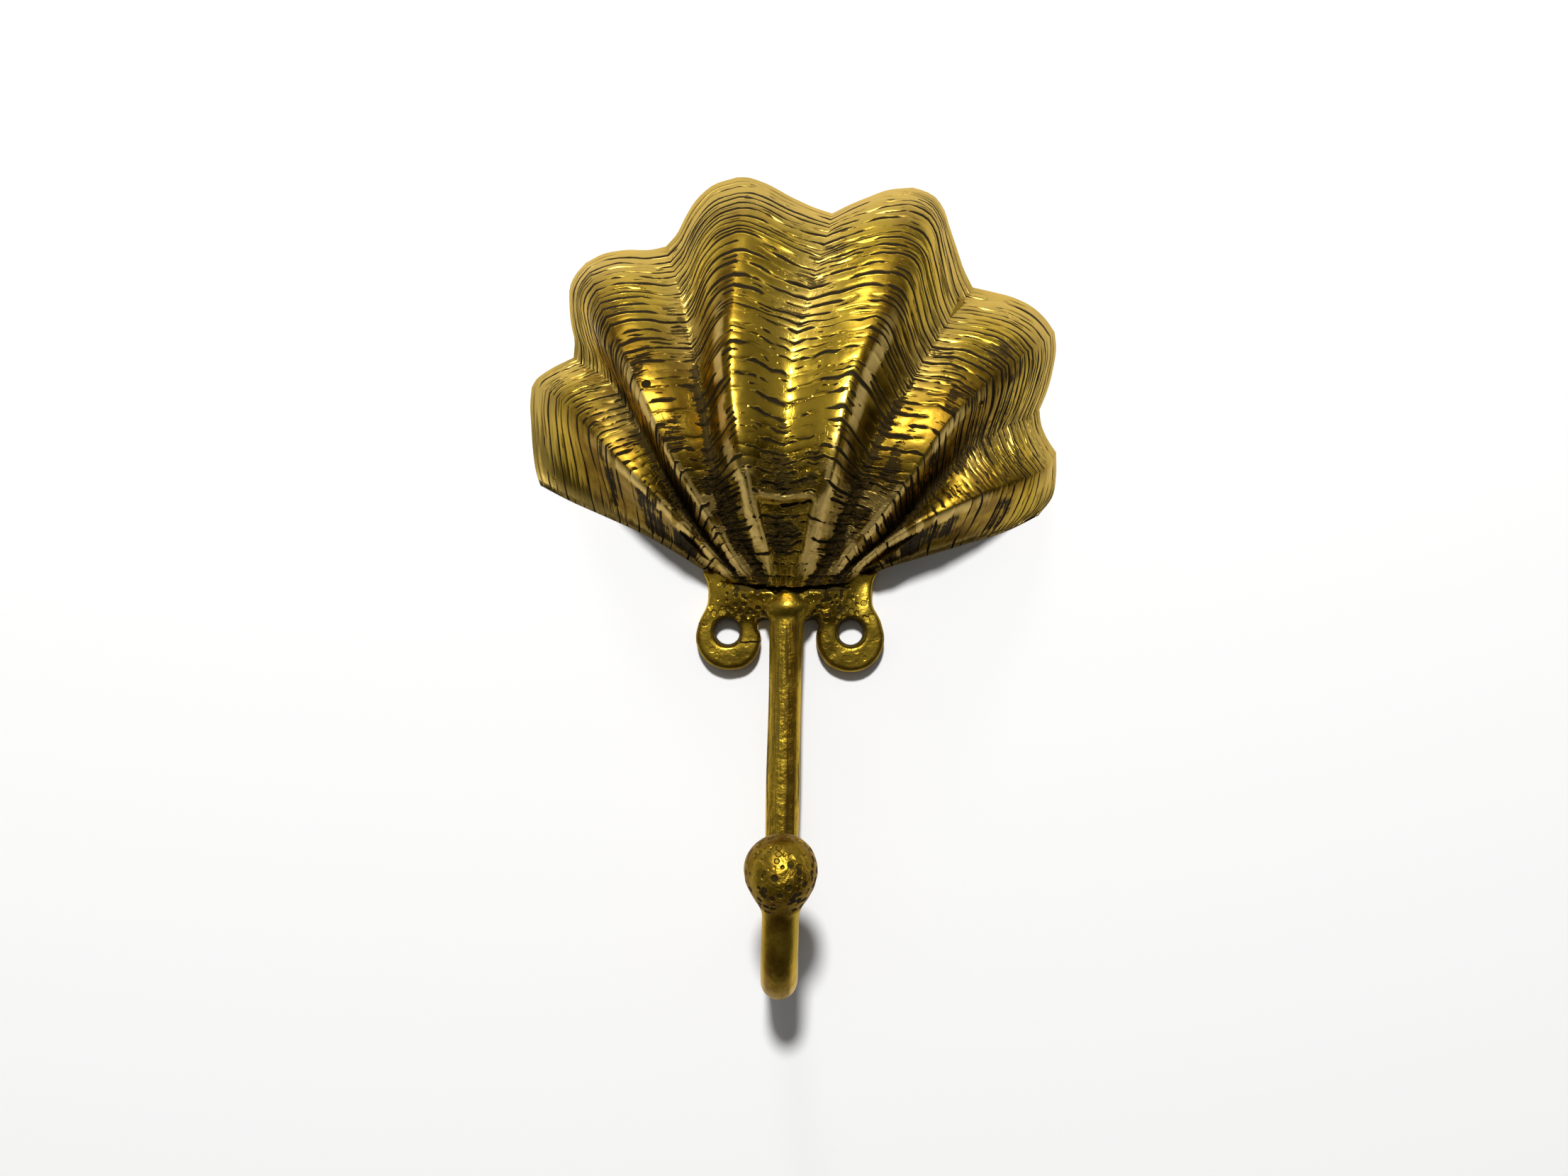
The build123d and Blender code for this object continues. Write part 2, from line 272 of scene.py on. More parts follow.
grime_and_shade = foot_dirt + 0.8 * beak_dirt + 0.95 * below_ledge * boss + 0.5 * upper_valley
grime_and_shade = np.clip(grime_and_shade, 0, 1)
# A pale strip beside each crest, on its steep side: rubbed metal and a painted reflection of the white
# wall.
# Pale metal near the rim, in the upper valleys and on the ledge's lip, and painted light along the
# lower edges
two_middle = (smooth(1.95, 2.05, place) * (1 - smooth(3.95, 4.05, place)))[None]
down_side = crest_mm - 2.0 * two_middle * smooth(0.25, 0.34, t)
down_side = down_side + 0.45 * soft_noise(shape, (90, 50), 34)
rubbed_and_sheen = steep * smooth(-0.2, 0.3, down_side) * (1 - smooth(2.2, 2.9, down_side))
rubbed_and_sheen += (1 - steep) * near_beak * (1 - smooth(0.5, 1.1, crest_mm))
rubbed_and_sheen = rubbed_and_sheen * (1 - 0.85 * smooth(0.2, 0.4, soft_noise(shape, (30, 14), 33)))
bare = near_beak * (1 - blob) * (1 - middle) * smooth(0.8, 1.6, foot_mm)
bare = bare * (1 - smooth(0.27, 0.34, t))
rubbed_and_sheen = np.clip(np.maximum(rubbed_and_sheen, 0.55 * bare), 0, 1)
rubbed_and_sheen = rubbed_and_sheen * smooth(0.02, 0.05, t) * (1 - smooth(0.5, 0.68, t))
# painted light: the lower edges are kept pale and clean where they would fall in shade
edge_band = 1 - smooth(0.1, 0.25, edge)
valley_tan = 0.32 * np.exp(-(foot_mm / 4.5) ** 2) * smooth(0.5, 0.65, t)
rubbed_and_sheen = np.maximum(rubbed_and_sheen, np.maximum(valley_tan, 0.4 * smooth(0.8, 0.96, t)))
rubbed_and_sheen = np.maximum(rubbed_and_sheen, 0.6 * edge_band)
lip = middle * np.exp(-((t - LEDGE - 0.003) / 0.006) ** 2)
rubbed_and_sheen = np.maximum(rubbed_and_sheen, 0.8 * lip)
stain = smooth(0.05, 0.5, soft_noise(shape, (15, 28), 35)) * (1 - two_middle)
stain = 0.42 * stain * (1 + 0.6 * sparse) * smooth(0.1, 0.3, t) * (1 - smooth(0.75, 0.95, t))
grime_and_shade = np.clip(grime_and_shade + stain, 0, 1) * (1 - edge_band)
grime_and_shade = grime_and_shade * (1 - lip) * (1 - 0.8 * rubbed_and_sheen)
# Brown on the steep sides and near the beak, and brown painted shade on the outer ribs and the tops of
# the crests that dims the lamp's highlights there
patina_and_shade = steep * smooth(0.2, 0.32, t) * (1 - smooth(0.6, 0.8, t)) * (1 - rubbed_and_sheen)
outer_ribs = 0.8 * (1 - two_middle) * (1 - smooth(0.6, 0.8, t))
crest_top = np.exp(-(crest_mm / 3.2) ** 2) * smooth(0.42, 0.56, t) * (1 - smooth(0.86, 0.95, t))
patina_and_shade = 0.75 * patina_and_shade + (0.5 * near_beak + outer_ribs) * (1 - rubbed_and_sheen) + 0.75 * crest_top
patina_and_shade = np.clip(patina_and_shade, 0, 1)
cell = np.broadcast_to(row_cell[:, None], shape)
across = np.broadcast_to(place[None, :], shape)
flute = (1 - rim_band) * np.ones(shape)
cast = 0.25 * near_beak + 0.25 * smooth(0.3, 1.0, grime_and_shade)


def mesh_object(name, points, faces, attributes):
    """A smooth mesh from (x, z, depth) points in millimetres, with float attributes."""
    mesh = bpy.data.meshes.new(name)
    co = np.stack([points[:, 0], -points[:, 2], points[:, 1]], 1) * METRE
    mesh.from_pydata(co.tolist(), [], faces)
    for key, values in attributes.items():
        layer = mesh.attributes.new(key, "FLOAT", "POINT")
        layer.data.foreach_set("value", np.asarray(values, np.float32))
    mesh.polygons.foreach_set("use_smooth", [True] * len(mesh.polygons))
    mesh.update()
    thing = bpy.data.objects.new(name, mesh)
    bpy.context.scene.collection.objects.link(thing)
    return thing


def quads(rows, columns, start=0, flip=False):
    """The faces of a grid of points that are numbered from start, row by row."""
    a = (np.arange(rows - 1)[:, None] * columns + np.arange(columns - 1)[None, :] + start).ravel()
    f = np.stack([a, a + 1, a + columns + 1, a + columns], 1)
    return (f[:, ::-1] if flip else f).tolist()


# The hollow behind: the same form one wall thickness in, with softer ribs
hollow_t = np.sin(np.linspace(0, 1, HOLLOW_ROWS) * math.pi / 2)
base_t = 0.07 + 0.93 * hollow_t
inner = scallop_grid(np.repeat(base_t[:, None], total, 1))[0]
for _ in range(HOLLOW_SMOOTHING):
    inner[1:, 1:-1] = (inner[1:, :-2] + 2 * inner[1:, 1:-1] + inner[1:, 2:]) / 4
hollow = inner - normals_of(inner) * THICKNESS
rim_in = inner[-1, :, :2] - CENTRE
rim_in *= 1 - THICKNESS / np.linalg.norm(rim_in, axis=1, keepdims=True)
share = hollow_t[:, None, None] ** 6
hollow[..., :2] = hollow[..., :2] * (1 - share) + (rim_in + CENTRE)[None] * share
hollow[..., 2] = np.maximum(hollow[..., 2], 0.3)
hollow[-1, :, 2] = 0
hollow[:, [0, -1], 2] = 0
uneven = 0.12 * soft_noise(hollow.shape[:2], (16, 60), 12)
hollow[..., 2] += uneven * (hollow[..., 2] > 1.0)

# One mesh: the outside, the hollow, and the flat rim on the wall between their edges
n_front = front.shape[0] * total
points = np.concatenate([front.reshape(-1, 3), hollow.reshape(-1, 3)])
faces = quads(front.shape[0], total) + quads(HOLLOW_ROWS, total, n_front, True)
ids = np.arange(n_front).reshape(front.shape[:2])
hid = np.arange(n_front, len(points)).reshape(HOLLOW_ROWS, total)
outer_loop = [*ids[:-1, 0], *ids[-1, :], *ids[-2::-1, -1]]
inner_loop = [*hid[:-1, 0], *hid[-1, :], *hid[-2::-1, -1]]
flat = [
    [Vector((points[i, 0], points[i, 1], 0)) for i in loop] for loop in (outer_loop, inner_loop)
]
order = outer_loop + inner_loop
n_curved = len(faces)
faces += [[int(order[i]) for i in tri] for tri in tessellate_polygon(flat)]
# the closing faces at the beak, inside the neck
faces.append([int(i) for i in ids[0][::-1]])
faces.append([int(i) for i in hid[0]])

# The material reads these at each point. On the scallop's outside they are the grids above, and
# in the hollow they are even, and 0 but for the ones that follow.
outside = {
    "cell": cell, "across": across, "grime_and_shade": grime_and_shade, "steep": steep, "flute": flute,
    "rubbed_and_sheen": rubbed_and_sheen, "patina_and_shade": patina_and_shade, "cast": cast, "sparse": sparse, "rod": np.zeros(shape),
}
in_hollow = {"grime_and_shade": 0.26, "patina_and_shade": 0.7, "cast": 0.35}
scallop = mesh_object(
    "scallop_hook_cast", points, faces,
    {
        key: np.r_[values.ravel(), np.full(hid.size, in_hollow.get(key, 0.0))]
        for key, values in outside.items()
    },
)
for polygon in scallop.data.polygons[n_curved:]:
    polygon.use_smooth = False

# The neck, ears, stem, bend and ball, as one smooth solid from distances to (x, z, depth)
HOLE_X, HOLE_R = 12.0, 2.4
EARS = [(-11.7, -1.0, 6.35), (11.9, -1.3, 6.5)]       # centre and radius
STEM_R, BEND_R, BALL_R, RISE = 3.2, 12.0, 6.2, 13.1
LEAN, RISE_LEAN = math.radians(1.3), math.radians(11.0)
STEM_TOP = np.array([-0.4, 5.6, 5.8])
KNOB, KNOB_SHAPE, KNOB_R = np.array([0.0, 5.0, 5.1]), np.array([1.2, 0.74, 1.0]), 4.1
NUB, NUB_R = np.array([7.2, 3.6, 5.2]), 0.8
BEND_Z = -49.9
LOWER_BOX = ((-20, -67, -1.0), (20, 14.5, 40))
STEP = 0.5                                            # size of the faces


def smooth_min(a, b, k):
    """The smaller of two distances, blended where they differ by less than k."""
    h = np.clip(0.5 + 0.5 * (b - a) / k, 0, 1)
    return b + (a - b) * h - k * h * (1 - h)


def smooth_max(a, b, k):
    """The larger of two distances, blended in the same way."""
    return -smooth_min(-a, -b, k)


def wave_noise(p, size, seed):
    """Smooth noise in space, about -1 to 1, with lumps of that size."""
    r = np.random.default_rng(seed)
    out = np.zeros(p.shape[:-1])
    for _ in range(9):
        k = r.normal(size=3)
        k *= 2 * math.pi / (size * r.uniform(1.2, 2.6)) / np.linalg.norm(k)
        out += np.sin(p @ k + r.uniform(0, 6.28))
    return out / 3.4


def segment(p, a, b):
    """Distance to the straight line from a to b."""
    d = b - a
    s = np.clip(((p - a) @ d) / (d @ d), 0, 1)
    return np.linalg.norm(p - a - s[..., None] * d, axis=-1)


def stem_parts():
    """The stem's lower end, the bend's hub, the risen end and the ball, and their directions."""
    down = np.array([-math.sin(LEAN), -math.cos(LEAN), 0.0])
    forward = np.array([0.0, 0.0, 1.0])
    low = STEM_TOP + down * (STEM_TOP[1] - BEND_Z) / math.cos(LEAN)
    hub = low + forward * BEND_R
    end = hub + forward * (math.cos(RISE_LEAN) * BEND_R) + down * (math.sin(RISE_LEAN) * BEND_R)
    up = forward * math.sin(RISE_LEAN) - down * math.cos(RISE_LEAN)
    return low, hub, end, end + up * RISE, down, forward


LOW, HUB, END, BALL, DOWN, FORWARD = stem_parts()


def rod_distance(p):
    """Distance to the axis of the stem, its bend and its risen end."""
    rel = p - HUB
    a, b = rel @ FORWARD, rel @ DOWN
    side = rel @ np.cross(FORWARD, DOWN)
    turn = np.arctan2(b, -a)                             # 0 at the stem, a half turn on the far side
    turn = np.where(turn < -math.pi / 2, turn + 2 * math.pi, turn)
    turn = np.clip(turn, 0, math.pi - RISE_LEAN)
    off_a, off_b = a + np.cos(turn) * BEND_R, b - np.sin(turn) * BEND_R
    bend = np.sqrt(off_a ** 2 + off_b ** 2 + side ** 2)
    return np.minimum(np.minimum(segment(p, STEM_TOP, LOW), bend), segment(p, END, BALL))


def hole_distance(x, z):
    """Distance to the nearer screw hole's edge, below 0 inside it."""
    return np.minimum(np.hypot(x + HOLE_X, z), np.hypot(x - HOLE_X, z + 0.1)) - HOLE_R


def lower_distance(p):
    """Signed distance to the neck, ears and stem at points (x, z, depth)."""
    x, z, depth = p[..., 0], p[..., 1], p[..., 2]
    left, right = (np.hypot(x - ear_x, z - ear_z) - radius for ear_x, ear_z, radius in EARS)
    waist = 15.9 + 0.075 * np.maximum(z - 7.3, 0) ** 2 + 0.03 * np.maximum(7.3 - z, 0) ** 2
    plate = smooth_max(np.abs(x - 0.2) - waist, np.maximum(z - 12.0, 2.6 - z), 1.0)
    flat = smooth_min(np.minimum(left, right), plate, 2.2)
    gaps = np.minimum(np.hypot(x + 4.9, z - 1.3), np.hypot(x - 4.6, z - 1.3)) - 1.25
    flat = smooth_max(flat, -gaps, 0.6)
    # the saddle climbs from the ears to the beak, with a crease under the beak
    web = 1 - smooth(6.0, 15.0, np.abs(x + 0.5))
    thick = 3.6 + 0.8 * smooth(3.0, 8.0, z) * web + 3.6 * smooth(1.0, 9.0, z) * web
    thick = thick - 2.6 * np.exp(-((z - 9.2 - 0.008 * x ** 2) / 0.9) ** 2) * web
    thick = thick - 1.1 * smooth(4.0, 12.0, z) * (1 - web)
    soft = 1.1
    q = np.stack([flat + soft, depth - thick + soft], -1)
    body = np.minimum(q.max(-1), 0) + np.linalg.norm(np.maximum(q, 0), axis=-1) - soft
    knob = np.linalg.norm((p - KNOB) / KNOB_SHAPE, axis=-1) - KNOB_R
    body = smooth_min(body, knob, 1.3)
    bumpy = smooth(0.3, 1.6, hole_distance(x, z)) * (0.55 + 0.45 * smooth(-1.0, 3.0, z))
    bumpy = bumpy * (0.4 + 0.6 * (1 - smooth(8.0, 13.0, np.abs(x))))
    body = body + (0.3 * wave_noise(p, 4.2, 21) + 0.14 * wave_noise(p, 1.9, 22)) * bumpy

    streak = 0.05 * wave_noise(p * np.array([1.0, 0.1, 1.0]), 2.4, 23)
    rod = rod_distance(p) - STEM_R - 0.06 * np.sin(z * 0.21 + 1.0) + streak
    ball = np.linalg.norm((p - BALL) / np.array([1.0, 1.02, 1.0]), axis=-1) - BALL_R
    ball = ball + 0.12 * wave_noise(p, 4.5, 24) + 0.05 * wave_noise(p, 1.6, 25)
    body = smooth_min(body, smooth_min(rod, ball, 2.6), 0.8)

    lip = hole_distance(x, z) - 0.55 * smooth(-1.3, 0.2, depth - 3.5)
    body = smooth_max(body, -lip, 0.35)
    nub = np.linalg.norm(p - NUB, axis=-1) - NUB_R
    return np.maximum(smooth_min(body, nub, 0.3), -depth)


def surface_net(distance, low, high, step):
    """A closed quad mesh on the zero of a distance function, and its points pulled onto it."""
    axes = [np.arange(a, b + step, step) for a, b in zip(low, high)]
    g = np.stack(np.meshgrid(*axes, indexing="ij"), -1)
    d = distance(g)
    inside = d < 0
    nx, ny, nz = (n - 1 for n in d.shape)
    # one point in each cell of the grid that the surface crosses, amid its crossings
    count = np.zeros((nx, ny, nz))
    crossings = np.zeros((nx, ny, nz, 3))
    for axis in range(3):
        others = [o for o in range(3) if o != axis]
        for m in range(4):
            start = [0, 0, 0]
            start[others[0]], start[others[1]] = m & 1, m >> 1
            stop = list(start)
            stop[axis] = 1
            da, db = (d[i:i + nx, j:j + ny, k:k + nz] for i, j, k in (start, stop))
            crossing = (da < 0) != (db < 0)
            w = np.where(crossing, da / np.where(crossing, da - db, 1), 0)
            at = np.zeros((nx, ny, nz, 3)) + np.array(start, float)
            at[..., axis] += w
            crossings += at * crossing[..., None]
            count += crossing
    used = count > 0
    ids = np.full(used.shape, -1)
    ids[used] = np.arange(used.sum())
    base = np.stack(np.nonzero(used), -1)
    pts = base + crossings[used] / count[used][:, None]
    pts = pts * step + np.array([a[0] for a in axes])
    # one face across each line of the grid that the surface crosses
    made = []
    for axis in range(3):
        o1, o2 = (axis + 1) % 3, (axis + 2) % 3
        a = np.moveaxis(inside, (axis, o1, o2), (0, 1, 2))
        v = np.moveaxis(ids, (axis, o1, o2), (0, 1, 2))
        flips = a[:-1, 1:-1, 1:-1] != a[1:, 1:-1, 1:-1]
        i, j, k = np.nonzero(flips)
        f = np.stack([v[i, j, k], v[i, j + 1, k], v[i, j + 1, k + 1], v[i, j, k + 1]], -1)
        solid_first = a[:-1, 1:-1, 1:-1][flips]
        made.append(np.where(solid_first[:, None], f, f[:, ::-1]))
    # pull the points onto the surface, down the slope of the distance
    nudge = 0.05
    for _ in range(3):
        here = distance(pts)
        slope = np.stack([(distance(pts + nudge * e) - here) / nudge for e in np.eye(3)], -1)
        size = np.maximum((slope**2).sum(-1, keepdims=True), 0.2)
        pts = pts - np.clip(here[:, None] * slope / size, -0.2, 0.2)
    return pts, np.concatenate(made)


low_pts, low_faces = surface_net(lower_distance, *LOWER_BOX, STEP)
# flat on the wall, and just off it where the scallop's own back covers the neck
low_pts[:, 2] = np.maximum(low_pts[:, 2], 0.1 * smooth(8.9, 9.4, low_pts[:, 1]))
low_x, low_z, low_depth = low_pts.T
# Pits are on the ball's lower right. Painted shade darkens the crease under the beak, the tops of the
# gaps, the screw holes, the whole ball, most on its lower right and rim, and the ears' edges; painted
# dark reflections run down the stem's sides and the front of the risen end
on_rod = 1 - smooth(0.6, 1.4, rod_distance(low_pts) - STEM_R)
on_rod = on_rod * (1 - smooth(1.0, 3.5, low_z))
on_ball = 1 - smooth(BALL_R + 0.3, BALL_R + 1.2, np.linalg.norm(low_pts - BALL, axis=1))
from_ball = (low_pts - BALL) @ np.array([0.45, -0.8, 0.0])
pitted = on_ball * smooth(-2.2, 0.6, from_ball)
risen = smooth(12.0, 24.0, low_depth) * (1 - on_ball)
on_rod = on_rod * (1 - on_ball)
# painted shade in the crease under the beak
crease = smooth(0.8, 2.0, low_depth) * smooth(7.6, 8.4, low_z)
crease = crease * (1 - smooth(9, 13, np.abs(low_x)))
# painted shade at the tops of the gaps beside the stem
from_gap_top = np.hypot(np.abs(low_x) - 4.9, low_z - 1.8)
crease += 0.8 * np.exp(-(from_gap_top / 1.5) ** 2)
ears = smooth(-9.0, -6.5, low_z) * (1 - on_rod)
# painted shade in the screw holes and on their upper bevels
in_hole = 1 - smooth(0.5, 0.8, hole_distance(low_x, low_z))
in_hole = in_hole * (1 - smooth(2.6, 3.3, low_depth) * (1 - smooth(-1.0, 1.0, low_z)))
skin = smooth(0.5, 4.0, low_z) * smooth(3.0, 5.0, low_depth)
skin = skin * smooth(3.0, 6.0, np.hypot(low_x, low_z - 5.0))
off_axis = (low_x - STEM_TOP[0] - (low_z - STEM_TOP[1]) * math.tan(LEAN)) / STEM_R
# painted dark reflections down the stem's sides
side_brown = smooth(-0.05, 0.2, off_axis) * (1 - smooth(0.66, 0.8, off_axis))
side_brown += 0.5 * smooth(0.5, 0.6, -off_axis) * (1 - smooth(0.76, 0.86, -off_axis))
# painted dark reflection on the front of the risen end
front_brown = 1 - smooth(0.6, 0.85, np.abs(off_axis + 0.1))
low_patina_and_shade = on_rod * (1 - risen) * side_brown + risen * front_brown
# painted shade on the ball: darker all over, most to the lower right and round its rim, which dims its
# highlight
ball_side = np.hypot(low_x - BALL[0], low_z - BALL[1]) / BALL_R
ball_side = 0.5 * smooth(0.78, 0.95, ball_side)
low_patina_and_shade += on_ball * (0.55 + 0.45 * smooth(-1.0, 3.0, from_ball) + ball_side)
from_ear = np.min([np.hypot(low_x - ear_x, low_z - ear_z) for ear_x, ear_z, _ in EARS], axis=0)
# painted shade on the ears' lower edges
ear_side = smooth(4.9, 5.9, from_ear) * (1 - smooth(0.5, 3.0, low_z))
low_patina_and_shade += 0.15 * ears + 0.7 * ears * ear_side
low_grime_and_shade = 0.06 + 0.95 * crease + 0.16 * pitted + 0.12 * ears + 0.8 * in_hole
low_cast = 0.14 + 0.08 * ears + 0.6 * skin * (1 - on_rod) + 0.25 * on_ball + pitted
below = {key: np.zeros(len(low_pts)) for key in outside}
below["grime_and_shade"] = np.clip(low_grime_and_shade, 0, 1)
below["patina_and_shade"] = np.clip(low_patina_and_shade, 0, 1)
below["cast"] = np.clip(low_cast, 0, 1)
below["rod"] = on_rod * (1 - 0.8 * risen)
lower = mesh_object("lower", low_pts, low_faces.tolist(), below)
with bpy.context.temp_override(
    active_object=scallop, object=scallop, selected_objects=[scallop, lower],
    selected_editable_objects=[scallop, lower],
):
    bpy.ops.object.join()


class Nodes:
    """Short calls that add and join shader nodes."""

    def __init__(self, tree):
        self.tree = tree
        tree.nodes.clear()

    def add(self, kind, inputs=None, **settings):
        node = self.tree.nodes.new(kind)
        for key, value in settings.items():
            setattr(node, key, value)
        for key, value in (inputs or {}).items():
            self.put(node.inputs[key], value)
        return node

    def put(self, socket, value):
        if isinstance(value, bpy.types.NodeSocket):
            self.tree.links.new(value, socket)
        else:
            socket.default_value = value

    def math(self, operation, *values):
        node = self.add("ShaderNodeMath", dict(enumerate(values)), operation=operation)
        return node.outputs[0]

    def times(self, *values):
        """The product of the values."""
        return functools.reduce(lambda a, b: self.math("MULTIPLY", a, b), values)

    def most(self, *values):
        """The largest of the values."""
        return functools.reduce(lambda a, b: self.math("MAXIMUM", a, b), values)

    def plus(self, value, *terms):
        """The value and each term times its weight, added up."""
        for term, weight in terms:
            value = self.math("ADD", value, self.math("MULTIPLY", term, weight))
        return value

    def centred(self, value):
        return self.math("SUBTRACT", value, 0.5)

    def attribute(self, name):
        return self.add("ShaderNodeAttribute", attribute_name=name).outputs["Fac"]

    def noise(self, vector, scale, detail=2.0, roughness=0.5):
        node = self.add(
            "ShaderNodeTexNoise",
            {"Vector": vector, "Scale": scale, "Detail": detail, "Roughness": roughness},
        )
        return node.outputs[0]

    def ramp(self, value, a, b, lo=0.0, hi=1.0):
        node = self.add(
            "ShaderNodeMapRange",
            {"Value": value, "From Min": a, "From Max": b, "To Min": lo, "To Max": hi},
            interpolation_type="SMOOTHSTEP",
        )
        return node.outputs[0]

    def mix(self, share, a, b):
        """Colour a where share is 0, colour b where it is 1."""
        node = self.add("ShaderNodeMix", {0: share, 6: a, 7: b}, data_type="RGBA")
        return node.outputs[2]

    def choose(self, share, a, b):
        """Shader a where share is 0, shader b where it is 1."""
        return self.add("ShaderNodeMixShader", {0: share, 1: a.outputs[0], 2: b.outputs[0]})

    def vector(self, x, y, z):
        return self.add("ShaderNodeCombineXYZ", {"X": x, "Y": y, "Z": z}).outputs[0]


def outside_at(x, z):
    """The point of the scallop's outside at that place, in metres."""
    nearest = np.hypot(front[..., 0] - x, front[..., 1] - z).argmin()
    return tuple(float(v) * METRE for v in (x, -front[..., 2].ravel()[nearest], z))


POLISHED = (0.55, 0.36, 0.034, 1)
DEEPER = (0.44, 0.30, 0.032, 1)
REDDISH = (0.46, 0.25, 0.012, 1)
DULL = (0.27, 0.18, 0.018, 1)
BROWN = (0.13, 0.065, 0.005, 1)
RUBBED_AND_SHEEN = (0.72, 0.52, 0.17, 1)
DIRT_AND_SHADE = (0.016, 0.010, 0.003, 1)
GLINT = (1.0, 0.88, 0.66, 1)


def brass():
    """Cast brass: polished crests, dark patina in the lines and feet, pits and scratches, and painted
    shade and painted reflections from the masks it reads.
    """
    material = bpy.data.materials.new("cast_brass")
    material.use_nodes = True
    n = Nodes(material.node_tree)
    where = n.add("ShaderNodeTexCoord").outputs["Object"]
    cell_, across_, grime_and_shade_, steep_, flute_, rubbed_and_sheen_, patina_and_shade_, cast_, sparse_, rod_ = (
        n.attribute(name) for name in outside
    )
    # the lines are denser in the upper half
    upper = n.ramp(cell_, 20.0, 27.0)

    def rib_noise(over, along, seed, detail, roughness=0.5):
        """Noise with so many lumps over each rib and each growth line."""
        spot = n.vector(n.times(across_, over), n.times(cell_, along), seed)
        return n.noise(spot, 1.0, detail, roughness)

    def strokes(counted, over, bar, low_width, high_width):
        """Dark strokes where the count is whole, broken over the ribs where noise is under a bar."""
        band = n.math("FLOOR", n.math("ADD", counted, 0.5))
        off = n.math("ABSOLUTE", n.math("SUBTRACT", counted, band))
        spot = n.vector(n.times(across_, over), n.times(band, 7.31), 0.5)
        odd = n.times(n.math("FLOORED_MODULO", band, 2.0), sparse_)
        present = n.math("SUBTRACT", n.noise(spot, 1.0, 2.0, 0.6), n.times(odd, 0.4))
        margin = n.math("SUBTRACT", present, bar)
        width = n.ramp(margin, 0.0, 0.12, low_width, high_width)
        return n.times(n.ramp(n.math("DIVIDE", off, width), 1.0, 0.45), n.ramp(margin, -0.02, 0.04))

    # Growth lines, with finer ones between them on the steep sides and near the feet
    counted = n.plus(cell_, (n.centred(rib_noise(7.0, 1.0, 0.0, 2.0)), 0.3))
    # The lower the bar, the more strokes there are
    bar = n.plus(0.5, (steep_, -0.06), (grime_and_shade_, -0.1), (rubbed_and_sheen_, 0.1), (upper, -0.05))
    main = strokes(counted, 2.8, bar, 0.09, 0.24)
    finer = n.plus(n.times(cell_, 2.0), (n.centred(rib_noise(9.0, 1.0, 5.0, 2.0)), 0.8))
    bar = n.plus(
        0.61, (n.most(steep_, grime_and_shade_), -0.1), (n.most(rubbed_and_sheen_, sparse_), 0.15), (upper, -0.05)
    )
    between = strokes(finer, 4.2, bar, 0.12, 0.32)
    stroke = n.times(n.most(main, between), flute_)

    # Scratches across the lines, where the dirt is
    hatch = n.ramp(rib_noise(26.0, 0.9, 3.0, 3.0, 0.7), 0.56, 0.66)
    hatch = n.times(hatch, n.times(grime_and_shade_, flute_))

    # Pits and grain of the cast skin, and long streaks on the stem
    fine = n.noise(where, 900.0, 4.0, 0.65)
    grain = n.centred(n.noise(where, 620.0, 3.0, 0.6))
    lumps = n.noise(where, 260.0, 3.0, 0.6)
    patch = n.noise(where, 70.0, 3.0, 0.55)
    cells = n.add("ShaderNodeTexVoronoi", {"Vector": where, "Scale": 700.0}).outputs["Distance"]
    pits = n.times(
        n.ramp(cells, 0.47, 0.32), n.ramp(n.noise(where, 170.0, 2.0), 0.34, 0.44),
        n.ramp(cast_, 0.15, 0.7),
    )
    long = n.add("ShaderNodeMapping", {"Vector": where, "Scale": (1.0, 1.0, 0.07)}).outputs[0]
    streak = n.noise(long, 900.0, 3.0, 0.6)

    # A blowhole on the left and a pit on the right, by place and radius in metres, and a casting
    # crack from the left screw hole to the ear's edge
    flaws = []
    for spot, radius in ((outside_at(-25.4, 44.7), 0.0009), (outside_at(34.9, 42.2), 0.0006)):
        gap = n.add("ShaderNodeVectorMath", {0: where, 1: spot}, operation="DISTANCE")
        flaws.append(n.ramp(gap.outputs["Value"], radius, radius * 0.6))
    x, _, z = n.add("ShaderNodeSeparateXYZ", {"Vector": where}).outputs
    course = n.plus(n.math("ADD", z, 0.0018), (n.centred(n.noise(where, 500.0)), 0.0008))
    reach = n.times(n.ramp(x, -0.0098, -0.0094), n.ramp(x, -0.0052, -0.0055))
    flaws.append(n.times(n.ramp(n.math("ABSOLUTE", course), 0.00022, 0.0001), reach))
    flaw = n.most(*flaws)

    # Patina, and painted shade in the neck's crease, the tops of the gaps and the screw holes: thick in
    # the feet, broken by rubbed metal
    comb = n.times(n.centred(rib_noise(3.5, 4.5, 9.0, 2.0, 0.6)), flute_)
    broken = n.plus(n.times(n.centred(lumps), 1.8), (comb, 2.0))
    deep = n.ramp(n.math("ADD", grime_and_shade_, broken), 0.45, 0.62)
    dirt_and_shade = n.most(
        stroke, n.times(hatch, 0.9), n.times(pits, 0.95),
        n.times(n.ramp(streak, 0.53, 0.62), rod_, 0.75), flaw, n.times(deep, 0.9),
    )

    tone = n.mix(n.ramp(patch, 0.35, 0.65), POLISHED, DEEPER)
    tone = n.mix(n.times(n.ramp(lumps, 0.5, 0.75), 0.3), tone, REDDISH)
    tone = n.mix(n.times(n.ramp(n.noise(where, 42.0, 4.0, 0.6), 0.47, 0.66), 0.6), tone, DULL)
    # brown patina, and brown painted shade and painted dark reflections on the outer ribs, crest tops,
    # stem, risen end, ball and ears' edges
    tone = n.mix(n.times(patina_and_shade_, n.ramp(lumps, 0.3, 0.6, 0.55, 0.9)), tone, BROWN)
    # pale rubbed metal, and a pale painted reflection of the wall on the steep strips and painted light
    # along the lower edges
    tone = n.mix(rubbed_and_sheen_, tone, RUBBED_AND_SHEEN)
